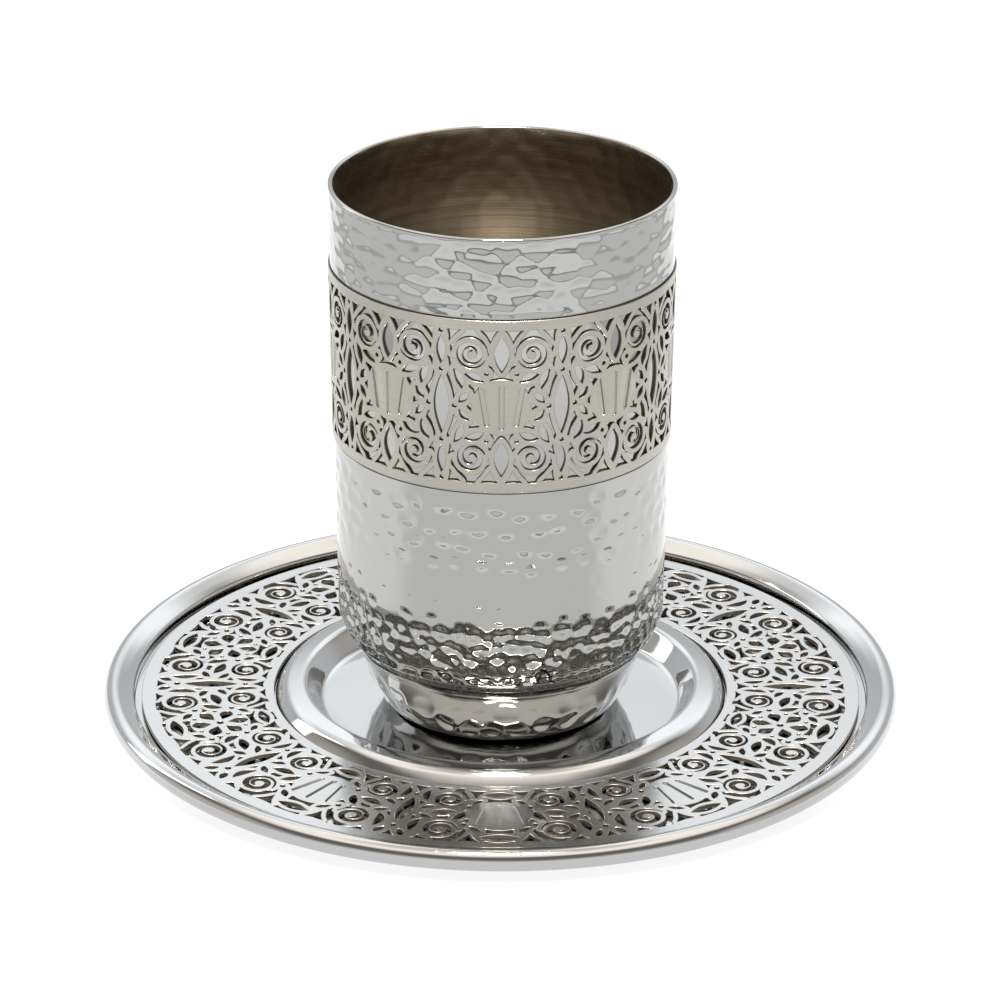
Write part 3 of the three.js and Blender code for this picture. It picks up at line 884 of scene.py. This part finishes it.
# Painted shade: the inside blends to the darker, warmer tone.
tree.links.new(blended(tree, inside, CUP_TONE, CUP_INSIDE_SHADED_TONE).socket, surface.inputs["Base Color"])
relief(tree, surface, brushed * (fine + broad * 0.8), 0.00005)

cup = drawn("hammered_cup", [(r, 0, z) for r, z in section], in_a_row(section), {
    "along": [along(d) * MM for d in below_lip], "blow": blows,
    "inside": [1.0 if i < lip_point - 2 else 0.0 for i in range(len(section))]})
shaped(cup, turned_tree("Hammered tumbler", hammered), {"Sides": CUP_SIDES, "Material": mirror})
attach(cup, "root")
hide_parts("cup")


# --- Cup sleeve ---------------------------------------------------------------------------------
# A strip of 0.4 mm satin steel with a faint champagne tone, cut through, rolled into a sleeve and
# pressed into the cup's recess, a little proud of it. Nine bays match the ring's; the five at the
# front carry strokes in the inscription's place.

BAND_BOTTOM, BAND_TOP = 48.3, 76.9
BAND_MIDDLE = 62.6
BAND_SHEET, BAND_PROUD = 0.4, 0.25
BAND_BAYS = 9
BAND_INSCRIBED_REACH = 2
BAND_RADIUS = 27.1
BAND_FIELD, BAND_RIBBON, BAND_FLOWER_CLEAR = 12.8, 0.82, 4.7


def on_band(u, v, degrees, y):
    """A bay's point, u round and v up, in a flat ring that keeps every angle of the sleeve's."""
    angle = math.radians(degrees) + u / BAND_RADIUS
    radius = BAND_RADIUS * math.exp((y + v) / BAND_RADIUS)
    return radius * math.cos(angle), radius * math.sin(angle)


def unrolled(u, v, degrees, y):
    return math.radians(degrees) * BAND_RADIUS + u, y + v


band_side = []
for s in (1, -1):
    band_side += [
        (10, s * 8.65, spun(scroll(2.35, 0.85, 1.75, s), 180 + 20 * s)),
        (14.4, s * 4.55, spun(leaf(3.5, 1.3, s * 0.3), s * 68)),
        (9.0, s * 4.75, spun(leaf(3.3, 1.3, s * 0.25), s * 22)),
        (12.4, s * 1.45, spun(leaf(2.4, 1.1), -s * 50)),
        (4.9, s * 5.6, hole(0.34, 8))]
    for degrees, y, corners in (
            (4.3, 11.95, ((-1.5, 0.75), (1.2, 0.75), (-0.3, -1.3))),
            (15.9, 11.75, ((-1.2, 0.9), (0.9, 0.9), (0.6, -1.0))),
            (16.6, 7.1, ((-0.5, 0.6), (0.5, 1.1), (0.2, -0.6)))):
        flip = [(a, b * s) for a, b in corners]
        band_side.append((degrees, s * y, spandrel(*(flip if s > 0 else flip[::-1]))))
band_side.append((15.5, 0, hole(0.38)))
band_axis = [(20, 0, spun(leaf(9.8, 2.5), 90))]
for s in (1, -1):
    band_axis += [(0, s * 8.7, spun(leaf(5.8, 2.3), 90)), (20, s * 9.1, spun(leaf(4.6, 1.5), 90)),
                  (20, s * 12.25, hole(0.34)), (20, s * 5.85, hole(0.34))]

# The cut edges take a darker tone: partly the cut's own oxide, partly painted shade in the openings.
BAND_TONE, BAND_CUT_OXIDE_AND_SHADE_TONE = (0.425, 0.413, 0.372), (0.20, 0.185, 0.165)
champagne, tree, surface, place = steel("champagne_sleeve_steel", BAND_TONE, 0.3)
x, y, z = place.parts()
rolled = vector(tree, x * 260.0, y * 260.0, z * 3000.0)
grain = put(tree, "ShaderNodeTexNoise", {"Vector": rolled, "Scale": 1.0, "Detail": 2.0})[0]
cloudy = noise(tree, place, 140, 3)
dull = between(tree, grain, 0.3, 0.7, 0.24, 0.34) + between(tree, cloudy, 0.35, 0.7, -0.03, 0.05)
cut_edge = put(tree, "ShaderNodeAttribute", {}, attribute_name="cut_edge")[2]
tree.links.new((dull + cut_edge * 0.15).socket, surface.inputs["Roughness"])
# Partly painted shade: the cut edges blend towards their darker tone.
tree.links.new(blended(tree, cut_edge, BAND_TONE, BAND_CUT_OXIDE_AND_SHADE_TONE).socket, surface.inputs["Base Color"])
relief(tree, surface, grain, 0.000002, relief(tree, surface, cloudy, 0.00001))

band_bay = mirrored(band_side) + band_axis
band_flower = flower(3.1, 2.0, 2.8, 0.5, 0)
sleeve = bay_drawing(
    "pierced_sleeve", {EVERY_BAY: band_bay, FLOWER_BAY: band_flower, INSCRIBED_BAY: strokes(BAND_RADIUS)},
    clearings(band_bay, unrolled, 180 / BAND_BAYS, -BAND_FIELD, BAND_FIELD, BAND_RIBBON, BAND_FLOWER_CLEAR),
    on_band)


def round_cup(tree, sheet):
    """Wraps the flat ring round the cup, with its outer edge as the sleeve's top."""
    x, y, z = put(tree, "GeometryNodeInputPosition")[0].parts()
    angle = y.maths("ARCTAN2", x)
    reach = (x * x + y * y).maths("SQRT")
    height = (reach / (BAND_RADIUS * MM)).maths("LOGARITHM", math.e) * (BAND_RADIUS * MM) + BAND_MIDDLE * MM
    slope = (LIP_RADIUS - BODY_FOOT_RADIUS) / (CUP_TOP - BODY_FOOT)
    radius = height * slope + (BODY_FOOT_RADIUS - slope * BODY_FOOT + BAND_PROUD - BAND_SHEET) * MM + z
    place = vector(tree, angle.maths("COSINE") * radius, angle.maths("SINE") * radius, height)
    wrapped = put(tree, "GeometryNodeSetPosition", {"Geometry": sheet, "Position": place})[0]
    return put(tree, "GeometryNodeFlipFaces", {"Mesh": wrapped})[0]


half_height = (BAND_TOP - BAND_BOTTOM) / 2
shaped(sleeve, pierced_tree("Pierced sleeve", round_cup), {
    "Bays": BAND_BAYS, "Inscribed reach": BAND_INSCRIBED_REACH,
    "Inner radius": BAND_RADIUS * math.exp(-half_height / BAND_RADIUS) * MM,
    "Outer radius": BAND_RADIUS * math.exp(half_height / BAND_RADIUS) * MM, "Border points": 360,
    "Sheet": BAND_SHEET * MM, "Groove depth": STROKE_DEPTH * MM, "Material": champagne}, eased_edges)
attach(sleeve, "root")
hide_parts("cup_band")
